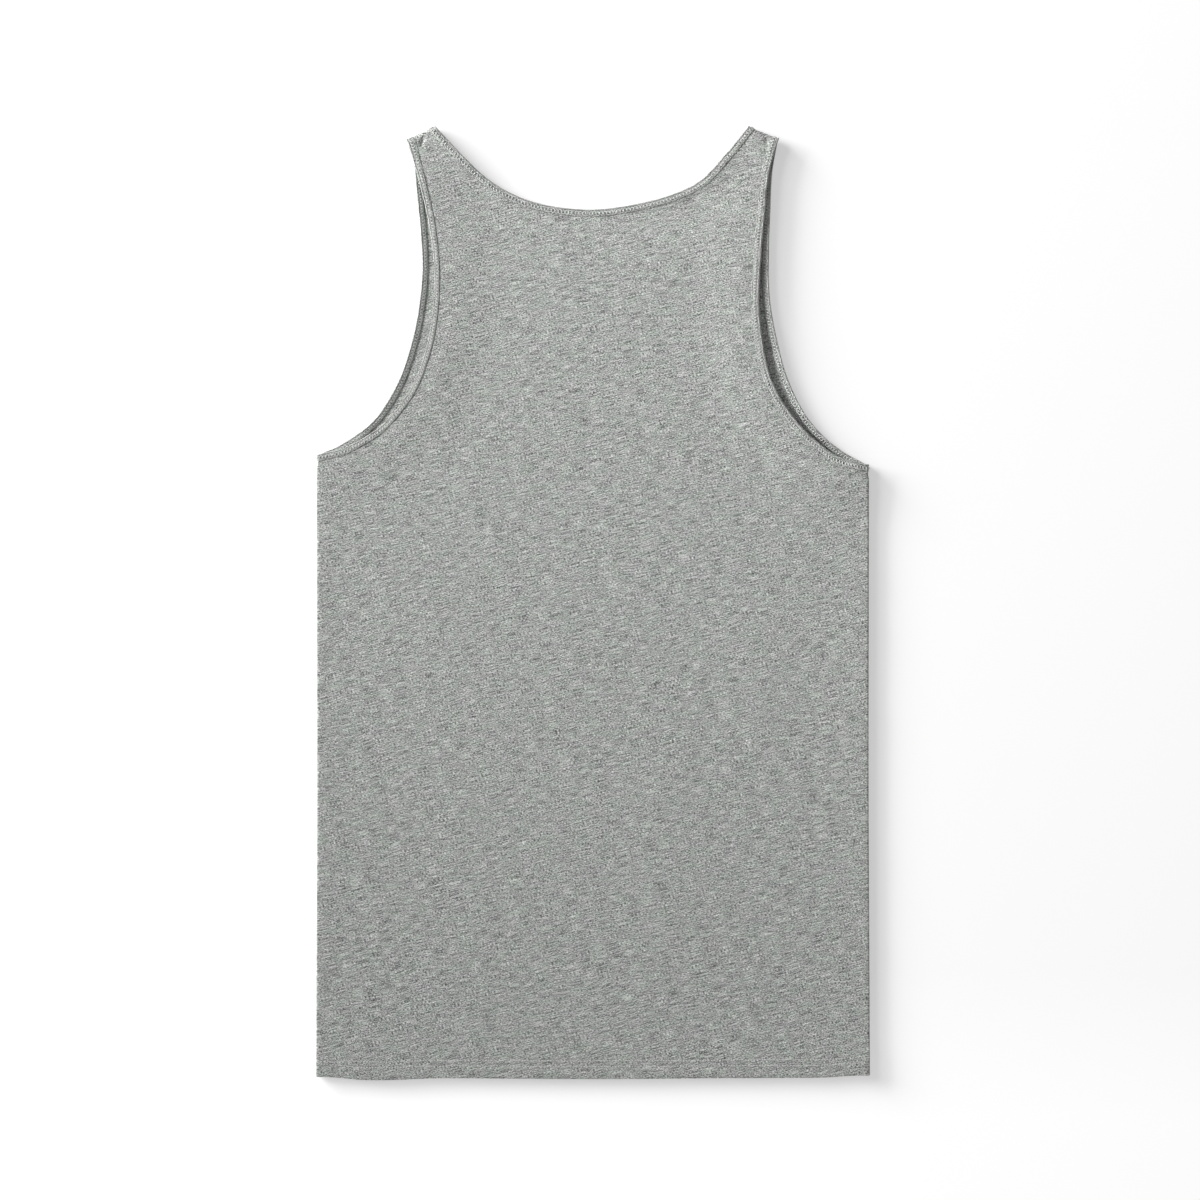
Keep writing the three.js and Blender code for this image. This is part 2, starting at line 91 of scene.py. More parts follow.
# The front's armhole edges from shoulder to underarm, and how far the back's edge lies inside them.
armholes = {
    "left": [
        (*shoulders["left"]["outer"], 0.0), (-0.1458, 0.357, 0.0005), (-0.1434, 0.3343, 0.0042),
        (-0.1405, 0.305, 0.0077), (-0.1389, 0.2709, 0.01), (-0.1422, 0.2368, 0.012),
        (-0.1487, 0.2075, 0.0129), (-0.1592, 0.1783, 0.0117), (-0.1779, 0.1491, 0.0074),
        (-0.2039, 0.1296, 0.0036), (-0.2222, 0.1213, 0.0),
    ],
    "right": [
        (*shoulders["right"]["outer"], 0.0), (0.1457, 0.35, 0.0025), (0.1441, 0.318, 0.0043),
        (0.143, 0.285, 0.0061), (0.1437, 0.2483, 0.0088), (0.1496, 0.214, 0.0118),
        (0.1582, 0.1829, 0.0128), (0.1722, 0.1542, 0.0093), (0.187, 0.1363, 0.007),
        (0.2025, 0.1239, 0.0058), (0.2218, 0.1132, 0.0),
    ],
}

# The outer faces of the side folds (y, left, right), and the lowest line of the hem (x, y).
sideRows = np.array([(-0.384, -0.225, 0.225), (-0.13, -0.2243, 0.224), (0.112, -0.2247, 0.2243)])
hemRows = np.array([
    (-0.222, -0.3846), (-0.178, -0.3875), (-0.12, -0.3858), (0.0, -0.3865),
    (0.11, -0.3858), (0.18, -0.3854), (0.222, -0.3834),
])
hem = {
    "depth": 0.0164,
    "rows": (0.0103, 0.015),  # the two needle rows, over the fold
    "valley": 0.00022,  # how deep the needle rows are drawn in
    "valleyWidth": 0.0011,
    "pucker": 0.00016,
    "raised": 0.00062,  # the garment rests on the thread here
    "settle": 0.02,  # over what length it comes down again
    "sewnTo": 0.2215,  # how far out the needle rows reach
}
hemTurn = layerStep / 2

# How far from an edge a layer stays raised, and over what length it comes down again.
settling = {
    "frontArmhole": (0.01, 0.014),
    "frontNeck": (0.009, 0.014),
    "backBound": (0.003, 0.046),
    "neckEdge": (0.003, 0.034),
    "backOverNeck": (0.012, 0.03),
    "shoulder": (0.004, 0.03),
    "side": (0.003, 0.016),
}
axisEase = 0.026  # an edge's cross direction swings round to the fold's over this length

# How wide a binding shows, how far in from the edge its two needle rows are, and its stitch length.
bindings = {
    "neck": {"back": (0.0062, 0.0019, 0.005), "front": (0.0062, 0.0019, 0.005), "pitch": 0.0028},
    "left": {"back": (0.0054, 0.0016, 0.0043), "front": (0.0052, 0.0015, 0.0041), "pitch": 0.0026},
    "right": {"back": (0.0066, 0.0022, 0.005), "front": (0.006, 0.0018, 0.0047), "pitch": 0.0025},
}
bindingShape = {
    "foldRound": {"back": 0.0012, "front": 0.0006},
    "pressed": 0.0009,  # half height between and past the needle rows
    "edge": 0.00052,  # half height at the inner edge, where it ends on the panel
    "edgeWidth": 0.0012,
    "valley": 0.00014,
    "valleyWidth": 0.00042,
    "dimple": 0.00012,
    "channel": 0.00042,  # half height of the room for the panel's edge
    "channelEnd": (0.0013, 0.0017),  # how far in from the fold that room begins
    "spacing": 0.0007,  # between stations
    "rowFlank": 0.0004,  # a column of points this far each side of a needle row
    "puffed": 0.035,  # how unevenly the fold is filled
}
lips = {"neck": 0.0, "left": 0.0016, "right": 0.0014}  # how far the front's free edges stand up
# How far the back's armhole edges stand open over the front's: share of the way, rise.
openings = {
    "left": np.array([(0.0, 0.0), (0.15, 0.0002), (0.5, 0.0002), (0.86, 0.0), (1.0, 0.0)]),
    "right": np.array([(0.0, 0.0), (0.2, 0.0004), (0.55, 0.0012), (0.93, 0.0015), (0.975, 0.0011),
                       (1.0, 0.0)]),
}
# The left band on the back is pulled narrower along its curve: share of the way, share of the width.
leftPull = np.array([
    (0.0, 1.3), (0.07, 1.12), (0.2, 1.0), (0.35, 0.88), (0.6, 0.87), (0.74, 0.94), (0.88, 1.06),
    (1.0, 1.14),
])


def smooth(value, low, high):
    share = np.clip((value - low) / (high - low), 0, 1)
    return share * share * (3 - 2 * share)


def fade(distance, hold, run):
    return 1 - smooth(distance, hold, hold + run)


def readTable(rows, place, column):
    # a column of a table sorted by its first column, eased between the rows
    shape = np.shape(place)
    place = np.asarray(place, float).ravel()
    after = np.clip(np.searchsorted(rows[:, 0], place), 1, len(rows) - 1)
    low, high = rows[after - 1], rows[after]
    share = smooth(place, low[:, 0], high[:, 0])
    return (low[:, column] + (high[:, column] - low[:, column]) * share).reshape(shape)


def unit(vectors):
    return vectors / np.linalg.norm(vectors, axis=-1, keepdims=True)


def makeCourse(points, steps=60):
    # a centripetal Catmull-Rom curve through the points, as close samples with their lengths
    p = np.array(points, float)
    p = np.vstack([2 * p[0] - p[1], p, 2 * p[-1] - p[-2]])
    share = np.linspace(0, 1, steps, endpoint=False)[:, None]
    pieces = []
    for i in range(1, len(p) - 2):
        d0, d1, d2 = (math.sqrt(np.linalg.norm(p[j + 1] - p[j])) for j in (i - 1, i, i + 1))
        slope1 = (p[i] - p[i - 1]) / d0 - (p[i + 1] - p[i - 1]) / (d0 + d1) + (p[i + 1] - p[i]) / d1
        slope2 = (p[i + 1] - p[i]) / d1 - (p[i + 2] - p[i]) / (d1 + d2) + (p[i + 2] - p[i + 1]) / d2
        slope1, slope2, span = slope1 * d1, slope2 * d1, p[i + 1] - p[i]
        square = 3 * span - 2 * slope1 - slope2
        cube = -2 * span + slope1 + slope2
        pieces.append(p[i] + share * slope1 + share**2 * square + share**3 * cube)
    points = np.vstack([*pieces, p[-2:-1]])
    lengths = np.concatenate([[0], np.cumsum(np.linalg.norm(np.diff(points, axis=0), axis=1))])
    return {"points": points, "lengths": lengths, "tangents": unit(np.gradient(points, axis=0))}


def along(course, shares):
    place = np.asarray(shares) * course["lengths"][-1]
    points, tangents = (
        np.stack([np.interp(place, course["lengths"], course[key][:, i]) for i in (0, 1)], axis=1)
        for key in ("points", "tangents")
    )
    return points, unit(tangents)


def acrossCloth(tangents, turn):
    return np.stack([-tangents[..., 1], tangents[..., 0]], axis=-1) * turn


def insetRows(rows, turn, steps=60):
    rows = np.array(rows, float)
    course = makeCourse(rows[:, :2], steps)
    return rows[:, :2] + acrossCloth(course["tangents"][::steps], turn) * rows[:, 2:]


def shoulderFold(side, start, end):
    start, end = np.array(shoulders[side][start]), np.array(shoulders[side][end])
    direction = unit(end - start)
    outward = np.array([-direction[1], direction[0]])
    return {"along": direction, "outward": outward if outward[1] > 0 else -outward, "reach": shoulderReach}


def frontNeckEnd(side):
    toArmhole = shoulderFold(side, "neck", "outer")["along"]
    return tuple(np.array(shoulders[side]["neck"]) + toArmhole * frontNeckSet)


edges = {
    "neck": {
        "turn": -1,
        "back": makeCourse([shoulders["left"]["neck"], *necklines["back"], shoulders["right"]["neck"]]),
        "front": makeCourse([frontNeckEnd("left"), *necklines["front"], frontNeckEnd("right")]),
        "startFold": shoulderFold("left", "neck", "outer"),
        "endFold": shoulderFold("right", "neck", "outer"),
    },
}
for side, turn in (("left", 1), ("right", -1)):
    edges[side] = {
        "turn": turn,
        "back": makeCourse(insetRows(armholes[side], turn)),
        "front": makeCourse([row[:2] for row in armholes[side]]),
        "startFold": shoulderFold(side, "outer", "neck"),
        "endFold": {
            "along": np.array([0.0, -1.0]), "outward": np.array([-float(turn), 0.0]), "reach": underarmReach,
        },
    }


def nearest(name, layer, x, y):
    # distance to an edge, and how far along it the nearest place is
    course = edges[name][layer]
    distance, place = np.empty(x.size), np.empty(x.size)
    px, py = course["points"][::4].T
    lengths = course["lengths"][::4]
    flatX, flatY = x.ravel(), y.ravel()
    for start in range(0, x.size, 4000):
        part = slice(start, start + 4000)
        squares = (flatX[part, None] - px) ** 2 + (flatY[part, None] - py) ** 2
        index = squares.argmin(axis=1)
        distance[part] = np.sqrt(squares[np.arange(len(index)), index])
        place[part] = lengths[index]
    return distance.reshape(x.shape), place.reshape(x.shape)


def toSegment(x, y, start, end):
    # distance to a straight line between two points, and the share of it passed
    (x0, y0), (x1, y1) = start, end
    dx, dy = x1 - x0, y1 - y0
    share = ((x - x0) * dx + (y - y0) * dy) / (dx * dx + dy * dy)
    held = np.clip(share, 0, 1)
    return np.hypot(x - x0 - held * dx, y - y0 - held * dy), share


def hemLine(x):
    return readTable(hemRows, x, 1)


def wavering(place, seed):
    # an uneven wave between about -1 and 1, for gathers along a seam
    waves = ((0.0073, 1.0, 0.3), (0.0117, 0.9, 1.7), (0.0191, 0.8, 4.1), (0.0463, 0.6, 2.2))
    total = sum(size * np.sin(2 * math.pi * place / length + phase * seed) for length, size, phase in waves)
    return total / 2.2


# Soft creases: from, to, half width, rise. A negative rise is a trough.
backFolds = [
    ((-0.0775, -0.098), (-0.0735, -0.3), 0.016, 0.00028),
    ((-0.037, -0.11), (-0.035, -0.285), 0.015, 0.0003),
    ((0.006, -0.102), (0.0085, -0.318), 0.017, 0.00026),
    ((0.048, -0.118), (0.052, -0.29), 0.015, 0.0003),
    ((0.085, -0.09), (0.087, -0.262), 0.017, 0.00022),
    ((0.181, 0.01), (0.179, -0.188), 0.015, -0.00034),
    ((0.202, 0.02), (0.201, -0.17), 0.012, 0.00024),
    ((-0.148, 0.096), (-0.147, -0.186), 0.009, -0.00022),
    ((-0.133, 0.08), (-0.133, -0.15), 0.012, 0.00018),
    ((-0.22, -0.086), (-0.164, -0.078), 0.011, 0.00036),
    ((-0.219, -0.026), (-0.183, -0.014), 0.013, -0.00026),
    ((-0.204, -0.125), (-0.172, -0.116), 0.014, -0.00028),
    ((-0.216, -0.33), (-0.18, -0.352), 0.02, 0.0003),
    ((-0.118, 0.3), (-0.084, 0.284), 0.0055, 0.00024),
    ((-0.122, 0.268), (-0.09, 0.262), 0.006, 0.00018),
    ((-0.115, 0.335), (-0.093, 0.318), 0.005, 0.0002),
    ((-0.156, 0.16), (-0.118, 0.13), 0.008, 0.00022),
    ((-0.187, 0.108), (-0.15, 0.086), 0.008, 0.00022),
    ((0.12, 0.3), (0.088, 0.312), 0.0055, 0.00022),
    ((0.118, 0.262), (0.082, 0.27), 0.0065, 0.00018),
    ((0.125, 0.205), (0.095, 0.222), 0.008, 0.00018),
    ((0.15, 0.14), (0.115, 0.158), 0.008, 0.00022),
    ((0.178, 0.1), (0.142, 0.116), 0.0085, 0.00024),
    ((0.205, 0.08), (0.17, 0.066), 0.0085, 0.0002),
    ((-0.06, 0.2), (0.04, 0.214), 0.026, 0.00016),
    ((0.03, 0.06), (0.115, 0.044), 0.03, 0.00018),
    ((-0.105, 0.02), (-0.035, 0.03), 0.028, 0.00014),
    ((-0.01, -0.33), (0.09, -0.344), 0.018, 0.00016),
]
frontFolds = [
    ((-0.11, -0.06), (-0.095, -0.27), 0.014, 0.0003),
    ((-0.03, 0.02), (-0.02, -0.24), 0.016, 0.00026),
    ((0.055, -0.1), (0.07, -0.33), 0.013, 0.00034),
    ((0.135, 0.06), (0.13, -0.15), 0.015, 0.0003),
    ((-0.175, 0.04), (-0.165, -0.18), 0.012, 0.00024),
    ((-0.135, 0.17), (-0.095, 0.13), 0.01, 0.0003),
    ((0.14, 0.16), (0.1, 0.12), 0.011, 0.00028),
    ((-0.06, 0.205), (-0.02, 0.12), 0.012, 0.00022),
    ((0.07, 0.2), (0.045, 0.09), 0.013, 0.00024),
]
pinches = [  # short sharp creases beside the bands at the shoulder folds
    ((-0.137, 0.3822), (-0.1402, 0.369), 0.0014, -0.0014),
    ((0.1402, 0.3812), (0.1416, 0.3715), 0.0013, -0.0013),
    ((-0.2245, 0.112), (-0.2165, 0.1082), 0.0012, -0.0009),
]


def creases(x, y, rows):
    total = np.zeros_like(x)
    for start, end, halfWidth, rise in rows:
        distance, share = toSegment(x, y, start, end)
        taper = smooth(share, -0.05, 0.28) * (1 - smooth(share, 0.72, 1.05))
        total += rise * np.exp(-((distance / halfWidth) ** 2)) * taper
    return total


def unevenness(x, y):
    waves = ((0.071, 0.113, 0.4), (0.097, -0.059, 2.1), (0.043, 0.037, 3.3), (-0.031, 0.083, 5.0))
    return sum(np.sin(2 * math.pi * (x / a + y / b) + phase) for a, b, phase in waves) * cloth["waviness"]


def lift(distance, name):
    return fade(distance, *settling[name])


def shoulderLift(x, y):
    distance = np.minimum(*(toSegment(x, y, ends["outer"], ends["neck"])[0] for ends in shoulders.values()))
    return lift(distance, "shoulder")


def frontHeight(x, y):
    x, y = np.asarray(x, float), np.asarray(y, float)
    raised = [shoulderLift(x, y)]
    clear = np.ones_like(x)
    for name in ("left", "right", "neck"):
        distance, _ = nearest(name, "front", x, y)
        raised.append(lift(distance, "frontNeck" if name == "neck" else "frontArmhole"))
        clear *= smooth(distance, 0.008, 0.03)
    highest = np.maximum.reduce(raised)
    soft = creases(x, y, frontFolds) * clear
    return levels["front"] + (levels["frontBound"] - levels["front"]) * highest + soft + hemLift(x, y)


def hemLift(x, y):
    return hem["raised"] * fade(y - hemLine(x), hem["depth"], hem["settle"])


def hemRise(x, y):
    # the needle rows are drawn in, and the cloth between them puckers a little
    over = y - hemLine(x)
    drawn = sum(np.exp(-(((over - row) / hem["valleyWidth"]) ** 2)) for row in hem["rows"])
    gathered = smooth(over, 0.002, 0.009) * fade(over, hem["depth"], hem["settle"])
    return hemLift(x, y) - hem["valley"] * drawn + hem["pucker"] * gathered * wavering(x, 1.0)


def neckLevel(y):
    return levels["neckLow"] + (levels["backBound"] - levels["neckLow"]) * smooth(
        y, levels["neckFrom"], levels["neckTo"]
    )


def opening(name, shares):
    return readTable(openings[name], shares, 1) if name in openings else np.zeros(np.shape(shares))


def backHeight(x, y):
    x, y = np.asarray(x, float), np.asarray(y, float)
    toSide = np.minimum(x - readTable(sideRows, y, 1), readTable(sideRows, y, 2) - x)
    rises = [
        (levels["backSide"] - levels["back"]) * lift(toSide, "side"),
        (levels["backOverNeck"] - levels["back"]) * lift(nearest("neck", "front", x, y)[0], "backOverNeck"),
        (levels["backBound"] - levels["back"]) * shoulderLift(x, y),
    ]
    level = levels["back"] + sum(rise**4 for rise in rises) ** 0.25
    clear = np.ones_like(x)
    gathers = np.zeros_like(x)
    past, close, opened = {}, {}, {}
    for seed, name in enumerate(("left", "right", "neck"), 1):
        distance, place = nearest(name, "back", x, y)
        past[name] = distance - bindings[name]["back"][0]
        close[name] = fade(past[name], 0.003, 0.01)
        opened[name] = opening(name, place / edges[name]["back"]["lengths"][-1])
        clear *= smooth(past[name], 0.0, 0.01)
        fading = smooth(past[name], 0.0, 0.003) * np.exp(-np.maximum(past[name], 0) / cloth["gathersRun"])
        gathers += cloth["gathers"] * fading * wavering(place, seed)
    overArmhole = np.maximum(lift(past["left"], "backBound"), lift(past["right"], "backBound"))
    bound = levels["backBound"] + np.where(x < 0, opened["left"], opened["right"])
    level += (bound - level) * overArmhole * (1 - close["neck"])
    atNeck = lift(past["neck"], "neckEdge") * (1 - np.maximum(close["left"], close["right"]))
    level += (neckLevel(y) - level) * atNeck
    relief = creases(x, y, backFolds) + creases(x, y, frontFolds) + unevenness(x, y)
    pinched = creases(x, y, pinches)
    return level + relief * clear + gathers + pinched + hemRise(x, y)


heights = {"back": backHeight, "front": frontHeight}


def boundLevels(name, layer, y, shares):
    if layer == "front":
        return np.full_like(y, levels["frontBound"])
    return neckLevel(y) if name == "neck" else levels["backBound"] + opening(name, shares)


bandSizes = ("width", "row0", "row1", "round")


# Stations are places on an edge. Each has a point, the way across the cloth and the way off the
# garment, and the widths that the binding has there. They are kept as a dictionary of arrays.
def edgeStations(name, layer, shares):
    edge = edges[name]
    shares = np.asarray(shares, float)
    flat, tangents = along(edge[layer], shares)
    length = edge[layer]["lengths"][-1]
    across = acrossCloth(tangents, edge["turn"])
    for fold, passed in ((edge["startFold"], shares), (edge["endFold"], 1 - shares)):
        ease = fade(passed * length, 0, axisEase)[:, None]
        across = across * (1 - ease) + fold["along"] * ease
    across = unit(across)
    width, row0, row1 = bindings[name][layer]
    pull = readTable(leftPull, shares, 1) if (name, layer) == ("left", "back") else np.ones(len(shares))
    lipHeight = np.zeros(len(shares))
    if layer == "front":
        lipHeight = lips[name] * smooth(shares, 0.03, 0.12) * (1 - smooth(shares, 0.8, 0.96))
    across3 = unit(np.column_stack([across, -lipHeight / width]))
    up = np.array([0.0, 0.0, 1.0])
    off = unit(up - across3 * across3[:, 2:])
    return {
        "place": np.column_stack([flat, boundLevels(name, layer, flat[:, 1], shares) + lipHeight]),
        "cut": flat.copy(),
        "across": across3,
        "off": off if layer == "back" else -off,
        "width": width * pull,
        "row0": row0 * pull,
        "row1": row1 * pull,
        "round": np.full(len(shares), bindingShape["foldRound"][layer]),
        "onFold": np.zeros(len(shares), bool),
    }


def foldStations(back, front, fold, angles, cutFrom="back"):
    # round a fold, from the back's end over the half turn to the front's
    angles = np.asarray(angles, float)
    share = (angles / math.pi)[:, None]
    radius = (back["place"][2] - front["place"][2]) / 2
    middle = (back["place"][2] + front["place"][2]) / 2
    outward = np.append(fold["outward"], 0.0)
    reach = radius + fold["reach"]
    place = back["place"] * (1 - share) + front["place"] * share + outward * (reach * np.sin(angles))[:, None]
    place[:, 2] = middle + radius * np.cos(angles)
    off = outward * np.sin(angles)[:, None]
    off[:, 2] = np.cos(angles)
    start, turned = (back, angles) if cutFrom == "back" else (front, math.pi - angles)
    mixed = {key: back[key] + (front[key] - back[key]) * share[:, 0] for key in bandSizes}
    return {
        "place": place,
        "cut": start["cut"] + fold["outward"] * (radius * turned)[:, None],
        "across": np.tile(np.append(fold["along"], 0.0), (len(angles), 1)),
        "off": off,
        "onFold": np.ones(len(angles), bool),
        **mixed,
    }


def one(stations, index):
    return {key: value[index] for key, value in stations.items()}


def flipped(stations):
    return {key: value[::-1] for key, value in stations.items()}


def joined(*parts):
    return {key: np.concatenate([part[key] for part in parts]) for key in parts[0]}


def meshObject(name, points, faces, look, cornerUv=None):
    mesh = bpy.data.meshes.new(name)
    mesh.from_pydata(points.tolist(), [], faces)
    mesh.materials.append(look)
    if cornerUv is not None:
        layer = mesh.uv_layers.new(name="cut")
        layer.data.foreach_set("uv", np.asarray(cornerUv, np.float32).ravel())
    mesh.polygons.foreach_set("use_smooth", np.ones(len(mesh.polygons), bool))
    mesh.update()
    piece = bpy.data.objects.new(name, mesh)
    bpy.context.scene.collection.objects.link(piece)
    return piece


# Panels: patches of cells whose borders coincide, joined into one sheet and given its thickness.
panelCells = {
    "back": {"strapRows": 26, "strapColumns": 10, "neckColumns": 124, "armholeRows": 84,
             "neckBase": 0.22, "armholeBase": 0.15},
    "front": {"strapRows": 34, "strapColumns": 8, "neckColumns": 118, "armholeRows": 64,
              "neckBase": 0.26, "armholeBase": 0.33},
}
hemCells = np.array([0, 1.5, 3.2, 5.2, 7.2, 8.6, 9.5, 10.3, 11.1, 12.1, 13.2, 14.2, 15.0, 15.8, 16.8, 18.4,
                     20.4, 22.8, 25.4]) / 1000
bodyRows = 140
foldSteps = 10  # straight facets in a half turn
sideFlatness = 0.32  # below 1, a side fold stays flat on top and turns down close to its edge
foldAngles = np.pi * np.arange(1, foldSteps) / foldSteps


def halfFoldAngles(radius, layer):
    angles = np.append(foldAngles[: foldSteps // 2 - 1], math.acos(cloth["seamGap"] / radius))
    return angles if layer == "back" else math.pi - angles


def edgeShares(name, layer):
    cells = panelCells[layer]
    base = cells["neckBase" if name == "neck" else "armholeBase"]
    strap = np.linspace(0, base, cells["strapRows"], endpoint=False)
    if name != "neck":
        return np.append(strap, np.linspace(base, 1, cells["armholeRows"] + 1))
    middle = np.linspace(base, 1 - base, cells["neckColumns"], endpoint=False)
    return np.concatenate([strap, middle, np.linspace(1 - base, 1, cells["strapRows"] + 1)])


def borderGrid(run, height):
    # the border of a panel: its raw edge in the binding, then just past it, then where it is free
    width = run["width"]
    free = ~run["onFold"]
    insets = (np.full_like(width, 0.002), width * 0.6, width + 0.0002, width + 0.0012, width + 0.0026)
    rows = []
    for inset, settledShare in zip(insets, (0.0, 0.0, 0.0, 0.5, 1.0)):
        point = run["place"] + run["across"] * inset[:, None]
        if settledShare:
            settled = height(point[:, 0], point[:, 1])
            point[free, 2] += (settled[free] - point[free, 2]) * settledShare
        cut = run["cut"] + run["across"][:, :2] * inset[:, None]
        rows.append(np.column_stack([point, cut]))
    return np.stack(rows, axis=1)


def sideFoldRow(side, layer, y):
    sign = -1 if side == "left" else 1
    outer = readTable(sideRows, y, 1 if side == "left" else 2)
    place = np.atleast_1d(y)
    top, bottom = backHeight(outer, place), frontHeight(outer, place)
    radius = (top - bottom) / 2
    centre = outer - sign * (radius + clothHalf)
    start = 0.0 if layer == "back" else math.pi
    rows = []
    for index in range(len(place)):
        angles = np.append(start, halfFoldAngles(radius[index], layer))
        turned = angles if layer == "back" else math.pi - angles
        rows.append(np.column_stack([
            centre[index] + sign * radius[index] * np.abs(np.sin(angles)) ** sideFlatness,
            np.full(len(angles), place[index]),
            (top[index] + bottom[index]) / 2 + radius[index] * np.cos(angles),
            centre[index] + sign * radius[index] * turned,
            np.full(len(angles), place[index]),
        ]))
    return np.stack(rows)


def fillInside(bottom, top, left, right, height):
    v = ((left[:, 1] - left[0, 1]) / (left[-1, 1] - left[0, 1]))[:, None, None]
    u = ((top[:, 0] - top[0, 0]) / (top[-1, 0] - top[0, 0]))[None, :, None]
    between = left[:, None] * (1 - u) + right[:, None] * u
    level = bottom[None] * (1 - v) + top[None] * v
    corners = (bottom[0] * (1 - u) + bottom[-1] * u) * (1 - v) + (top[0] * (1 - u) + top[-1] * u) * v
    grid = between + level - corners
    grid[..., 2] = height(grid[..., 0], grid[..., 1])
    grid[0], grid[-1], grid[:, 0], grid[:, -1] = bottom, top, left, right
    return grid


def fillBetween(lineA, lineB, onFold, columns, height):
    u = np.linspace(0, 1, columns + 1)[None, :, None]
    grid = lineA[:, None] * (1 - u) + lineB[:, None] * u
    level = height(grid[..., 0], grid[..., 1])
    inner = np.zeros(level.shape, bool)
    inner[:, 1:-1] = ~onFold[:, None]
    grid[..., 2] = np.where(inner, level, grid[..., 2])
    return grid


def hemGrid(bottom, inward):
    # turned through half a circle to the inside, and laid flat against its panel
    rows = [bottom]
    shares = np.array([0.2, 0.4, 0.6, 0.8, 1.0])
    turns = [(angle, 0.0) for angle in np.pi * shares]
    flaps = [(math.pi, hem["depth"] * share) for share in shares]
    for angle, depth in turns + flaps:
        row = bottom.copy()
        row[:, 1] += depth - hemTurn * math.sin(angle)
        row[:, :3] += inward * hemTurn * (1 - math.cos(angle))
        row[:, 4] -= hemTurn * angle + depth
        rows.append(row)
    return np.stack(rows)


def weld(patches):
    points, cells = [], []
    count = 0
    for grid in patches:
        rows, columns = grid.shape[:2]
        index = np.arange(rows * columns).reshape(rows, columns) + count
        cell = np.stack([index[:-1, :-1], index[:-1, 1:], index[1:, 1:], index[1:, :-1]], axis=-1)
        alongRow, acrossRows = grid[0, 1, :3] - grid[0, 0, :3], grid[1, 0, :3] - grid[0, 0, :3]
        if np.cross(alongRow, acrossRows)[2] < 0:
            cell = cell[..., ::-1]
        points.append(grid.reshape(-1, 5))
        cells.append(cell.reshape(-1, 4))
        count += rows * columns
    points, cells = np.vstack(points), np.vstack(cells)
    _, first, index = np.unique(np.round(points[:, :3], 7), axis=0, return_index=True, return_inverse=True)
    return points[first], index.ravel()[cells]


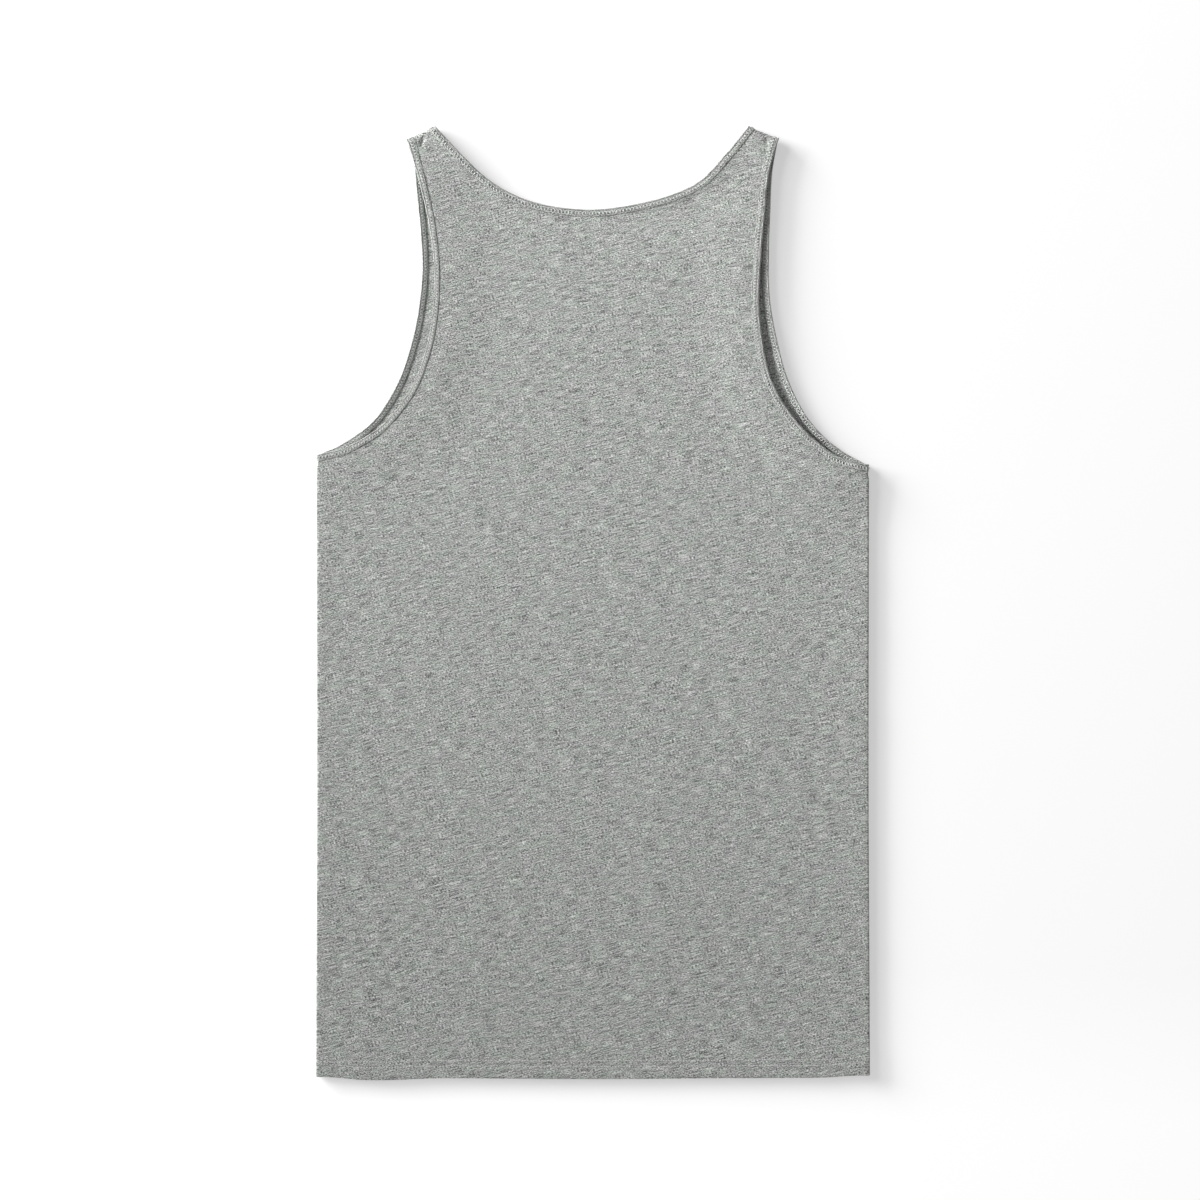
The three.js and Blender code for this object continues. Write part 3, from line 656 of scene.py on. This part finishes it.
def makePanel(layer):
    cells = panelCells[layer]
    height = heights[layer]
    over = foldSteps // 2
    stations = {
        name: {part: edgeStations(name, part, edgeShares(name, layer)) for part in ("back", "front")}
        for name in edges
    }

    def halfFold(name, index, fold):
        ends = [one(stations[name][part], index) for part in ("back", "front")]
        radius = (ends[0]["place"][2] - ends[1]["place"][2]) / 2
        return foldStations(*ends, fold, halfFoldAngles(radius, layer), cutFrom=layer)

    patches, settled, onFold = [], {}, {}
    for name, edge in edges.items():
        run = joined(
            flipped(halfFold(name, 0, edge["startFold"])),
            stations[name][layer],
            halfFold(name, -1, edge["endFold"]),
        )
        border = borderGrid(run, height)
        settled[name], onFold[name] = border[:, -1], run["onFold"]
        patches += [border[over:], border[: over + 1][::-1]]

    strap = over + cells["strapRows"] + 1
    neckLines = {"left": settled["neck"][:strap][::-1], "right": settled["neck"][-strap:]}
    strapBase = {}
    for side in ("left", "right"):
        outerLine, flags = settled[side][:strap][::-1], onFold[side][:strap][::-1]
        grid = fillBetween(outerLine, neckLines[side], flags, cells["strapColumns"], height)
        patches.append(grid)
        strapBase[side] = grid[0]

    sideLines, sideBottoms = {}, {}
    for side in ("left", "right"):
        underarm = settled[side][-over - 1:]
        foot = float(hemLine(underarm[0, 0])) + hemTurn + clothHalf
        reach = underarm[0, 1] - foot
        rest = np.linspace(hemCells[-1], reach, bodyRows)[1:-1]
        rows = sideFoldRow(side, layer, foot + np.concatenate([hemCells, rest]))
        patches.append(np.concatenate([rows, underarm[None]]))
        armhole = settled[side][strap - 1: -over - 1][::-1]
        sideLines[side] = np.vstack([rows[:, 0], underarm[:1], armhole])
        sideBottoms[side] = rows[0]

    neckMiddle = settled["neck"][strap: strap - 1 + cells["neckColumns"]]
    top = np.vstack([strapBase["left"], neckMiddle, strapBase["right"][::-1]])
    reach = (top[:, 0] - top[0, 0]) / (top[-1, 0] - top[0, 0])
    x = sideLines["left"][0, 0] * (1 - reach) + sideLines["right"][0, 0] * reach
    y = hemLine(x) + hemTurn + clothHalf
    bottom = np.column_stack([x, y, height(x, y), x, y])
    bottom[0], bottom[-1] = sideLines["left"][0], sideLines["right"][0]
    patches.append(fillInside(bottom, top, sideLines["left"], sideLines["right"], height))

    # the hem runs round the side folds too, so its flap lies inside them
    whole = np.vstack([sideBottoms["left"][:0:-1], bottom, sideBottoms["right"][1:]])
    inward = np.tile([0.0, 0.0, -1.0 if layer == "back" else 1.0], (len(whole), 1))
    middleZ = (backHeight(bottom[:1, 0], bottom[:1, 1]) + frontHeight(bottom[:1, 0], bottom[:1, 1])) / 2
    for side, start in (("left", 0), ("right", len(whole) - over)):
        fold = whole[start: start + over]
        centreX = sideBottoms[side][0, 0]
        toCentre = np.column_stack([centreX - fold[:, 0], np.zeros(over), middleZ[0] - fold[:, 2]])
        inward[start: start + over] = unit(toCentre)
    flap = hemGrid(whole, inward)
    patches.append(flap[:, over:-over])
    patches += [flap[:, : over + 1][:, ::-1], flap[:, -over - 1:]]

    points, faces = weld(patches)
    cut = points[:, 3:] + (0.0 if layer == "back" else 1.0)
    piece = meshObject(f"{layer}Panel", points[:, :3], faces.tolist(), panelLook, cut[faces.ravel()])
    bpy.ops.object.select_all(action="DESELECT")
    piece.select_set(True)
    bpy.context.view_layer.objects.active = piece
    wall = piece.modifiers.new("wall", "SOLIDIFY")
    wall.thickness = cloth["thickness"]
    wall.offset = 0.0
    bpy.ops.object.modifier_apply(modifier=wall.name)
    bpy.ops.object.shade_smooth_by_angle(angle=math.radians(50))
    print("panel", piece.name, "faces", len(piece.data.polygons))
    return piece


# Bindings: closed rings folded over the panels' edges, with their needle rows drawn in.
def coverHeight(ring, inset):
    # how far the binding's outer face stands off the middle of the panel's edge
    shape = bindingShape
    width, row0, row1 = ring["width"], ring["row0"], ring["row1"]
    roll = np.sqrt(np.clip(1 - np.clip(1 - inset / ring["round"], 0, 1) ** 2, 0, 1))
    crown = boundHalf * ring["puffed"]
    body = crown + (shape["pressed"] - crown) * smooth(inset, row0 - 0.0012, row0)
    body += (shape["edge"] - body) * smooth(inset, width - shape["edgeWidth"], width)
    deep = shape["valley"] + shape["dimple"] * ring["needle"]
    for row in (row0, row1):
        body = body - deep * np.exp(-(((inset - row) / shape["valleyWidth"]) ** 2))
    return np.maximum(body * roll, 0.0)


def makeRing(name):
    edge = edges[name]
    spacing = bindingShape["spacing"]
    layers = {}
    for layer in ("back", "front"):
        count = int(edge[layer]["lengths"][-1] / spacing)
        layers[layer] = edgeStations(name, layer, np.linspace(0, 1, count + 1))
    angles = np.pi * np.arange(1, 9) / 9
    ends = {
        index: foldStations(one(layers["back"], index), one(layers["front"], index), edge[key], angles)
        for index, key in ((-1, "endFold"), (0, "startFold"))
    }
    ring = joined(layers["back"], ends[-1], flipped(layers["front"]), flipped(ends[0]))
    middle = ring["place"] + ring["across"] * ((ring["row0"] + ring["row1"]) / 2)[:, None]
    gaps = np.linalg.norm(np.roll(middle, -1, axis=0) - middle, axis=1)
    ring["passed"] = np.concatenate([[0], np.cumsum(gaps)[:-1]])
    ring["length"] = gaps.sum()
    ring["stitches"] = round(ring["length"] / bindings[name]["pitch"])
    ring["pitch"] = ring["length"] / ring["stitches"]
    ring["needle"] = (0.5 + 0.5 * np.cos(2 * np.pi * ring["passed"] / ring["pitch"])) ** 2
    seed = {"neck": 3.0, "left": 1.0, "right": 2.0}[name]
    ring["puffed"] = 1 + bindingShape["puffed"] * wavering(ring["passed"], seed)
    return ring


def outerFace(ring, inset, side):
    height = coverHeight(ring, inset)
    return ring["place"] + ring["across"] * inset[:, None] + ring["off"] * (height * side)[:, None]


def makeBinding(name, ring):
    # columns of points from the inner edge over the needle rows to the fold, and back the same way
    width, row0, row1, roundTo = (ring[key] for key in bandSizes)
    flank = bindingShape["rowFlank"]
    turn = [roundTo * (1 - math.cos(math.radians(angle))) for angle in (70, 50, 32, 16)]
    insets = [
        width, width - 0.0003, width - 0.0007, row1 + flank, row1, row1 - flank, (row0 + row1) / 2,
        row0 + flank, row0, np.maximum(row0 - flank, roundTo * 0.95),
        np.maximum((row0 - flank + turn[0]) / 2, roundTo * 0.8), *turn,
    ]
    columns = [outerFace(ring, inset, 1) for inset in insets]
    columns.append(ring["place"].copy())
    columns += [outerFace(ring, inset, -1) for inset in reversed(insets)]
    rise = bindingShape["channel"]
    tip, mouth = (np.full_like(width, inset) for inset in bindingShape["channelEnd"])
    for inset, offset in ((width, -rise), (mouth, -rise), (tip, 0.0), (mouth, rise), (width, rise)):
        columns.append(ring["place"] + ring["across"] * inset[:, None] + ring["off"] * offset)
    section = np.stack(columns, axis=1)
    rows, size = section.shape[:2]
    row, column = np.divmod(np.arange(rows * size), size)
    corners = [(0, 0), (0, 1), (1, 1), (1, 0)]
    if edges[name]["turn"] < 0:
        corners = [(0, 0), (1, 0), (1, 1), (0, 1)]
    faces = np.stack([(row + i) % rows * size + (column + j) % size for i, j in corners], axis=-1)
    u = np.append(ring["passed"], ring["length"])
    girth = np.linalg.norm(np.diff(section[0], axis=0, append=section[0][:1]), axis=1)
    v = np.concatenate([[0], np.cumsum(girth)])
    cut = np.stack([np.column_stack([u[row + i], v[column + j]]) for i, j in corners], axis=1)
    points = section.reshape(-1, 3)
    piece = meshObject(f"{name}Binding", points, faces.tolist(), bandLooks[name], cut.reshape(-1, 2))
    print("binding", piece.name, "faces", len(faces), "length", round(float(ring["length"]), 3))
    return piece


# Thread: one stitch is shaped, and every seam is copies of it joined into one mesh.
thread = {
    "radius": 0.00024,
    "coverRadius": 0.00042,
    "fill": 0.7,  # share of the pitch that a stitch covers
    "hemPitch": 0.0023,
    "hemRadius": 0.00036,
    "hemFill": 0.58,
    "sunk": 0.2,  # share of the radius that lies in the cloth
    "coverRise": 0.00014,  # the cover thread lies over the needle rows
    "coverSlant": 0.1,  # share of the pitch that it leans each way
}


def shapeStitch():
    # a bead along X from -1 to 1 whose ends dip into the cloth
    bpy.ops.object.select_all(action="DESELECT")
    alongX = (0, math.radians(90), 0)
    bpy.ops.mesh.primitive_uv_sphere_add(segments=6, ring_count=6, radius=1.0, rotation=alongX)
    bead = bpy.context.active_object
    bpy.ops.object.transform_apply(location=False, rotation=True, scale=False)
    bpy.ops.object.mode_set(mode="EDIT")
    for low, high, drop in ((0.8, 1.1, -0.75), (0.4, 0.8, -0.1)):
        for sign in (-1, 1):
            bpy.ops.mesh.select_all(action="DESELECT")
            bpy.ops.object.mode_set(mode="OBJECT")
            for vertex in bead.data.vertices:
                vertex.select = low < vertex.co.x * sign < high
            bpy.ops.object.mode_set(mode="EDIT")
            bpy.ops.transform.translate(value=(0, 0, drop))
    bpy.ops.object.mode_set(mode="OBJECT")
    points = np.array([vertex.co for vertex in bead.data.vertices])
    faces = [list(face.vertices) for face in bead.data.polygons]
    bpy.data.objects.remove(bead)
    return points, faces


stitchPoints, stitchFaces = shapeStitch()


def sewRows(name, rows):
    # rows holds (starts, ends, normals, radius) for each run of stitches
    points, faces, count = [], [], 0
    for starts, ends, normals, radius in rows:
        middle, reach = (starts + ends) / 2, (ends - starts) / 2
        direction = unit(reach)
        normals = unit(normals - direction * (normals * direction).sum(axis=1, keepdims=True))
        beside = np.cross(normals, direction)
        half = np.linalg.norm(reach, axis=1)[:, None, None]
        lifted = middle + normals * radius * (1 - thread["sunk"])
        local = stitchPoints[None]
        points.append((
            lifted[:, None] + local[..., :1] * half * direction[:, None]
            + local[..., 1:2] * radius * beside[:, None] + local[..., 2:] * radius * normals[:, None]
        ).reshape(-1, 3))
        for _ in range(len(starts)):
            faces += [[corner + count for corner in face] for face in stitchFaces]
            count += len(stitchPoints)
    piece = meshObject(name, np.vstack(points), faces, paleThread)
    print("stitching", name, "stitches", count // len(stitchPoints))
    return piece


def ringSampler(ring):
    # reads a column of the closed ring at places along it
    places = np.append(ring["passed"], ring["length"])

    def read(values, at):
        closed = np.concatenate([values, values[:1]])
        at = np.mod(at, ring["length"])
        return np.stack([np.interp(at, places, closed[:, i]) for i in range(closed.shape[1])], axis=1)

    return read


def sewBinding(name, ring):
    read = ringSampler(ring)
    pitch = ring["pitch"]
    start = np.arange(ring["stitches"]) * pitch
    middle = start + pitch / 2
    half, lean = pitch * thread["fill"] / 2, pitch * thread["coverSlant"]
    rows = []
    for side in (1, -1):
        needleRows = [outerFace(ring, ring[key], side) for key in ("row0", "row1")]
        normals = read(ring["off"] * side, middle)
        for path in needleRows:
            rows.append((read(path, middle - half), read(path, middle + half), normals, thread["radius"]))
        # the cover thread runs across from row to row once a stitch
        outer, inner = (path + ring["off"] * side * thread["coverRise"] for path in needleRows)
        rows.append((read(outer, start - lean), read(inner, start + lean), normals, thread["coverRadius"]))
    return sewRows(f"{name}Stitching", rows)


def sewHem(layer):
    rows = []
    side = 1 if layer == "back" else -1
    left, right = -hem["sewnTo"], hem["sewnTo"]
    count = round((right - left) / thread["hemPitch"])
    edgesX = left + (right - left) * np.arange(count + 1) / count
    for row in hem["rows"]:
        reach = (edgesX[1] - edgesX[0]) * (1 - thread["hemFill"]) / 2
        ends = []
        for x in (edgesX[:-1] + reach, edgesX[1:] - reach):
            wander = 0.00018 * np.sin(x * 61) + 0.00012 * np.sin(x * 173 + 1)
            y = hemLine(x) + row + wander
            ends.append(np.column_stack([x, y, heights[layer](x, y) + side * clothHalf]))
        normals = np.tile([0.0, 0.0, float(side)], (count, 1))
        rows.append((ends[0], ends[1], normals, thread["hemRadius"]))
    return sewRows(f"{layer}HemStitching", rows)


# Materials. Cloth patterns read the "cut" map, which is the cloth's own flat coordinates in metres.
jersey = {
    "colour": (0.338, 0.349, 0.335),
    "slant": 15.0,  # degrees that the heather's streaks rise to the right
    "wander": (0.05, 0.005),  # how far apart the streaks change direction, and how far they drift
    "streak": (0.0125, 0.00052, 2.8),  # length, width, strength
    "fibre": (0.0015, 0.00034, 5.9),
    "mottle": (0.026, 0.011, 0.12),
    "pale": (0.011, 0.00052, 0.8),  # the light fibres
    "dark": (0.01, 0.0005, 0.5),  # and the dark ones
    "flecks": (0.6, 0.78),  # where in the noise both kinds begin and are full
    "tint": (0.016, 0.008, 0.05),  # faint green and purple patches
    "roughness": 0.92,
    "sheen": 0.12,
    "fuzzAndPaintedRim": 3.2,  # painted highlight: how much lighter the colour is painted where the cloth turns away
    "palest": 2.4,  # and the most that all of these can make of it
    "wale": 0.00072,  # width of a column of knit stitches
    "course": 0.00056,  # height of a row of them
}
threadLook = {"colour": (0.65, 0.66, 0.64), "roughness": 0.6}


class Nodes:
    # a short way to write a node tree: values and sockets go in by name
    def __init__(self, material):
        material.use_nodes = True
        self.tree = material.node_tree
        self.tree.nodes.clear()

    def add(self, kind, inputs=None, **settings):
        node = self.tree.nodes.new(kind)
        for key, value in settings.items():
            setattr(node, key, value)
        for key, value in (inputs or {}).items():
            if isinstance(value, bpy.types.NodeSocket):
                self.tree.links.new(value, node.inputs[key])
            else:
                node.inputs[key].default_value = value
        return node

    def maths(self, operation, first, second=0.0, third=0.0):
        return self.add("ShaderNodeMath", {0: first, 1: second, 2: third}, operation=operation).outputs[0]

    def vectors(self, operation, inputs):
        return self.add("ShaderNodeVectorMath", inputs, operation=operation).outputs[0]

    def noise(self, vector, detail=2.0):
        inputs = {"Vector": vector, "Scale": 1.0, "Detail": detail}
        return self.add("ShaderNodeTexNoise", inputs, noise_dimensions="2D").outputs["Fac"]


def stretched(nodes, cut, size, degrees, offset):
    inputs = {"Vector": cut, "Angle": -math.radians(degrees)}
    turned = nodes.add("ShaderNodeVectorRotate", inputs, rotation_type="Z_AXIS").outputs[0]
    scale, location = (1 / size[0], 1 / size[1], 1.0), (offset, offset * 1.7, 0)
    return nodes.add("ShaderNodeMapping", {"Vector": turned, "Scale": scale, "Location": location}).outputs[0]


def jerseyMaterial(name, paintedShadeTone, slant):
    material = bpy.data.materials.new(name)
    nodes = Nodes(material)
    maths = nodes.maths
    flat = nodes.add("ShaderNodeUVMap", uv_map="cut").outputs[0]
    apart, drift = jersey["wander"]
    inputs = {"Vector": flat, "Scale": 1 / apart, "Detail": 1.0}
    drifting = nodes.add("ShaderNodeTexNoise", inputs, noise_dimensions="2D").outputs["Color"]
    centred = nodes.vectors("SUBTRACT", {0: drifting, 1: (0.5, 0.5, 0.5)})
    cut = nodes.vectors("ADD", {0: flat, 1: nodes.vectors("SCALE", {0: centred, "Scale": drift})})
    value = 1.0
    layers = (("streak", 0, 3.0, 1.0), ("fibre", 2, 10.0, 1.0), ("mottle", -4, 17.0, 2.0))
    for key, lean, offset, detail in layers:
        pattern = nodes.noise(stretched(nodes, cut, jersey[key], slant + lean, offset), detail)
        value = maths("MULTIPLY_ADD", maths("SUBTRACT", pattern, 0.5), jersey[key][2], value)
    for key, lean, offset, sign in (("pale", 3, 41.0, 1), ("dark", -3, 50.0, -1)):
        pattern = nodes.noise(stretched(nodes, cut, jersey[key], slant + lean, offset), 1.0)
        low, high = jersey["flecks"]
        inputs = {"Value": pattern, "From Min": low, "From Max": high}
        flecks = nodes.add("ShaderNodeMapRange", inputs, clamp=True).outputs[0]
        value = maths("MULTIPLY_ADD", flecks, sign * jersey[key][2], value)
    value = maths("MAXIMUM", value, 0.2)
    # painted highlight: the colour is lightened where the cloth turns away from the eye, a painted rim of
    # light on folds that lie in shade
    facing = nodes.add("ShaderNodeLayerWeight", {"Blend": 0.5}).outputs["Facing"]
    turned = maths("POWER", facing, 3.0)
    value = maths("MULTIPLY", value, maths("MULTIPLY_ADD", turned, jersey["fuzzAndPaintedRim"], 1.0))
    value = maths("MINIMUM", value, jersey["palest"])
    tinted = maths("SUBTRACT", nodes.noise(stretched(nodes, cut, jersey["tint"], slant, 61.0)), 0.5)
    shift = jersey["tint"][2]
    # a tone below 1 paints shade into the colour; the panel has 1
    channels = {
        part: maths("MULTIPLY", value, maths("MULTIPLY_ADD", tinted, shift * lean, channel * paintedShadeTone))
        for part, channel, lean in zip(("Red", "Green", "Blue"), jersey["colour"], (0.5, -0.5, 0.35))
    }
    colour = nodes.add("ShaderNodeCombineColor", channels).outputs[0]

    # knit: columns of small V shapes, over a soft fuzz
    split = nodes.add("ShaderNodeSeparateXYZ", {"Vector": flat})
    across = maths("DIVIDE", split.outputs[0], jersey["wale"])
    up = maths("DIVIDE", split.outputs[1], jersey["course"])
    leg = maths("ABSOLUTE", maths("SUBTRACT", maths("FRACT", across), 0.5))
    column = maths("COSINE", maths("MULTIPLY", maths("SUBTRACT", leg, 0.25), 4 * math.pi))
    slope = maths("MULTIPLY_ADD", leg, 1.1, up)
    row = maths("SINE", maths("MULTIPLY", slope, 2 * math.pi))
    knit = maths("MULTIPLY_ADD", column, 0.6, maths("MULTIPLY", row, 0.4))
    fuzzAndPaintedRim = nodes.noise(stretched(nodes, cut, (0.0011, 0.0005), slant, 77.0), 3.0)
    relief = maths("MULTIPLY_ADD", fuzzAndPaintedRim, 2.4, knit)
    bump = nodes.add("ShaderNodeBump", {"Height": relief, "Strength": 0.55, "Distance": 0.00007})
    surface = nodes.add("ShaderNodeBsdfPrincipled", {
        "Base Color": colour,
        "Roughness": jersey["roughness"],
        "Specular IOR Level": 0.2,
        "Sheen Weight": jersey["sheen"],
        "Sheen Roughness": 0.5,
        "Normal": bump.outputs[0],
    })
    nodes.add("ShaderNodeOutputMaterial", {"Surface": surface.outputs[0]})
    return material


def threadMaterial():
    material = bpy.data.materials.new("paleThread")
    nodes = Nodes(material)
    place = nodes.add("ShaderNodeTexCoord").outputs["Object"]
    fibres = nodes.add("ShaderNodeTexNoise", {"Vector": place, "Scale": 2600.0, "Detail": 1.0}).outputs["Fac"]
    value = nodes.maths("MULTIPLY_ADD", nodes.maths("SUBTRACT", fibres, 0.5), 0.5, 1.0)
    inputs = {0: 1.0, 6: (*threadLook["colour"], 1.0), 7: value}
    colour = nodes.add("ShaderNodeMix", inputs, data_type="RGBA", blend_type="MULTIPLY")
    bump = nodes.add("ShaderNodeBump", {"Height": fibres, "Strength": 0.4, "Distance": 0.00005})
    surface = nodes.add("ShaderNodeBsdfPrincipled", {
        "Base Color": colour.outputs[2],
        "Roughness": threadLook["roughness"],
        "Specular IOR Level": 0.3,
        "Sheen Weight": 0.1,
        "Normal": bump.outputs[0],
    })
    nodes.add("ShaderNodeOutputMaterial", {"Surface": surface.outputs[0]})
    return material


panelLook = jerseyMaterial("heatherJersey", 1.0, jersey["slant"])
# the bindings are the panel's jersey painted darker, a painted shade: least on the left band, which faces the
# key light
bandLooks = {
    "neck": jerseyMaterial("heatherNeckBindingShaded", 0.86, 4.0),
    "left": jerseyMaterial("heatherLeftBindingShaded", 0.91, 4.0),
    "right": jerseyMaterial("heatherRightBindingShaded", 0.87, 4.0),
}
paleThread = threadMaterial()
print("materials made")

panels = {layer: makePanel(layer) for layer in ("back", "front")}
hemStitching = {layer: sewHem(layer) for layer in ("back", "front")}
bindingPieces, bindingStitching, ringLengths = {}, {}, {}
for name in edges:
    ring = makeRing(name)
    bindingPieces[name] = makeBinding(name, ring)
    bindingStitching[name] = sewBinding(name, ring)
    ringLengths[name] = float(ring["length"])

# What each piece stands for, and its size when cut
nodeNames = {"neck": "neck_binding", "left": "armhole_binding_left", "right": "armhole_binding_right"}
cuts = {
    "back": {"flat": (0.452, 0.794), "area": 0.301, "rests": ["frontPanel"]},
    "front": {"flat": (0.452, 0.794), "area": 0.287, "rests": ["floor"]},
    "neck": {"width": 0.0139, "rests": ["floor", "frontPanel"]},
    "left": {"width": 0.0122, "rests": ["floor", "frontPanel"]},
    "right": {"width": 0.0141, "rests": ["floor", "frontPanel"]},
}

# Floor, light and camera
studio = {
    "floorColour": (0.62, 0.62, 0.62),
    "floorGlow": (0.39, 0.44),  # up to the hem, and below it
    "glowFrom": (0.3, 0.42),  # how far below the garment's middle it changes
    "sky": 0.32,
    # The key lights the garment only. It stands higher than the floor's lights, so folds keep soft edges
    # and the shadow is long. Its narrow beam is aimed past the shoulders, so it falls off toward the hem.
    "lights": {  # place, aim, size, spread in degrees, power
        "key": ((-4.7, 2.71, 2.42), (0.0, 1.5, 0.0), (3.4, 2.8), 46.0, 94.0),
        "floorLow": ((-5.06, 2.92, 0.9), (0.0, 0.0, 0.0), (4.0, 1.09), 180.0, 1070.0),
        "floorHigh": ((-4.76, 2.75, 2.0), (0.0, 0.0, 0.0), (4.0, 2.06), 180.0, 305.0),
    },
    "view": {"centre": (0.0057, 0.0028), "height": 2.4, "width": 0.97476, "level": 0.0035},
}


def makeFloor():
    bpy.ops.object.select_all(action="DESELECT")
    bpy.ops.mesh.primitive_plane_add(size=8.0, location=(0, 0, -0.0002))
    floor = bpy.context.active_object
    floor.name = "floor"
    material = bpy.data.materials.new("paleFloor")
    nodes = Nodes(material)
    place = nodes.add("ShaderNodeTexCoord").outputs["Object"]
    below = nodes.add("ShaderNodeVectorMath", {0: place, 1: (0.0, -1.0, 0.0)}, operation="DOT_PRODUCT")
    (low, high), (near, far) = studio["floorGlow"], studio["glowFrom"]
    glow = nodes.add("ShaderNodeMapRange", {
        "Value": below.outputs["Value"], "From Min": near, "From Max": far, "To Min": low, "To Max": high,
    }).outputs[0]
    surface = nodes.add("ShaderNodeBsdfPrincipled", {
        "Base Color": (*studio["floorColour"], 1.0),
        "Roughness": 0.9,
        "Specular IOR Level": 0.0,
        "Emission Color": (1.0, 1.0, 1.0, 1.0),
        "Emission Strength": glow,
    })
    nodes.add("ShaderNodeOutputMaterial", {"Surface": surface.outputs[0]})
    floor.data.materials.append(material)
    return floor


def makeLights(floor, garment):
    world = bpy.data.worlds.new("studio")
    bpy.context.scene.world = world
    world.use_nodes = True
    background = world.node_tree.nodes["Background"]
    background.inputs["Color"].default_value = (1.0, 1.0, 1.0, 1.0)
    background.inputs["Strength"].default_value = studio["sky"]
    for name, (place, aim, size, spread, power) in studio["lights"].items():
        bpy.ops.object.light_add(type="AREA", location=place)
        light = bpy.context.active_object
        light.name = name
        light.data.shape = "RECTANGLE"
        light.data.size, light.data.size_y = size
        light.data.energy = power
        light.data.spread = math.radians(spread)
        light.rotation_euler = (Vector(aim) - light.location).to_track_quat("-Z", "Y").to_euler()
        lit = bpy.data.collections.new(f"{name}Receivers")
        for piece in [floor] if name.startswith("floor") else garment:
            lit.objects.link(piece)
        light.light_linking.receiver_collection = lit


def makeCamera():
    view = studio["view"]
    bpy.ops.object.camera_add(location=(*view["centre"], view["height"]), rotation=(0, 0, 0))
    camera = bpy.context.active_object
    camera.name = "camera"
    camera.data.sensor_width = 36.0
    camera.data.lens = 36.0 * (view["height"] - view["level"]) / view["width"]
    bpy.context.scene.camera = camera


garment = [*panels.values(), *hemStitching.values(), *bindingPieces.values(), *bindingStitching.values()]
makeLights(makeFloor(), garment)
makeCamera()
settings = bpy.context.scene.view_settings
settings.view_transform = "Standard"
settings.look = "None"
print("floor, light and camera made")


def takePlace(piece, stitching, node):
    for part in (piece, stitching):
        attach(part, "root")
    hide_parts(node)


for layer, piece in panels.items():
    stitching, row = hemStitching[layer], cuts[layer]
    takePlace(piece, stitching, f"{layer}_panel")
    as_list(row["rests"])
for name, piece in bindingPieces.items():
    stitching, row = bindingStitching[name], cuts[name]
    takePlace(piece, stitching, nodeNames[name])
    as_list(row["rests"])
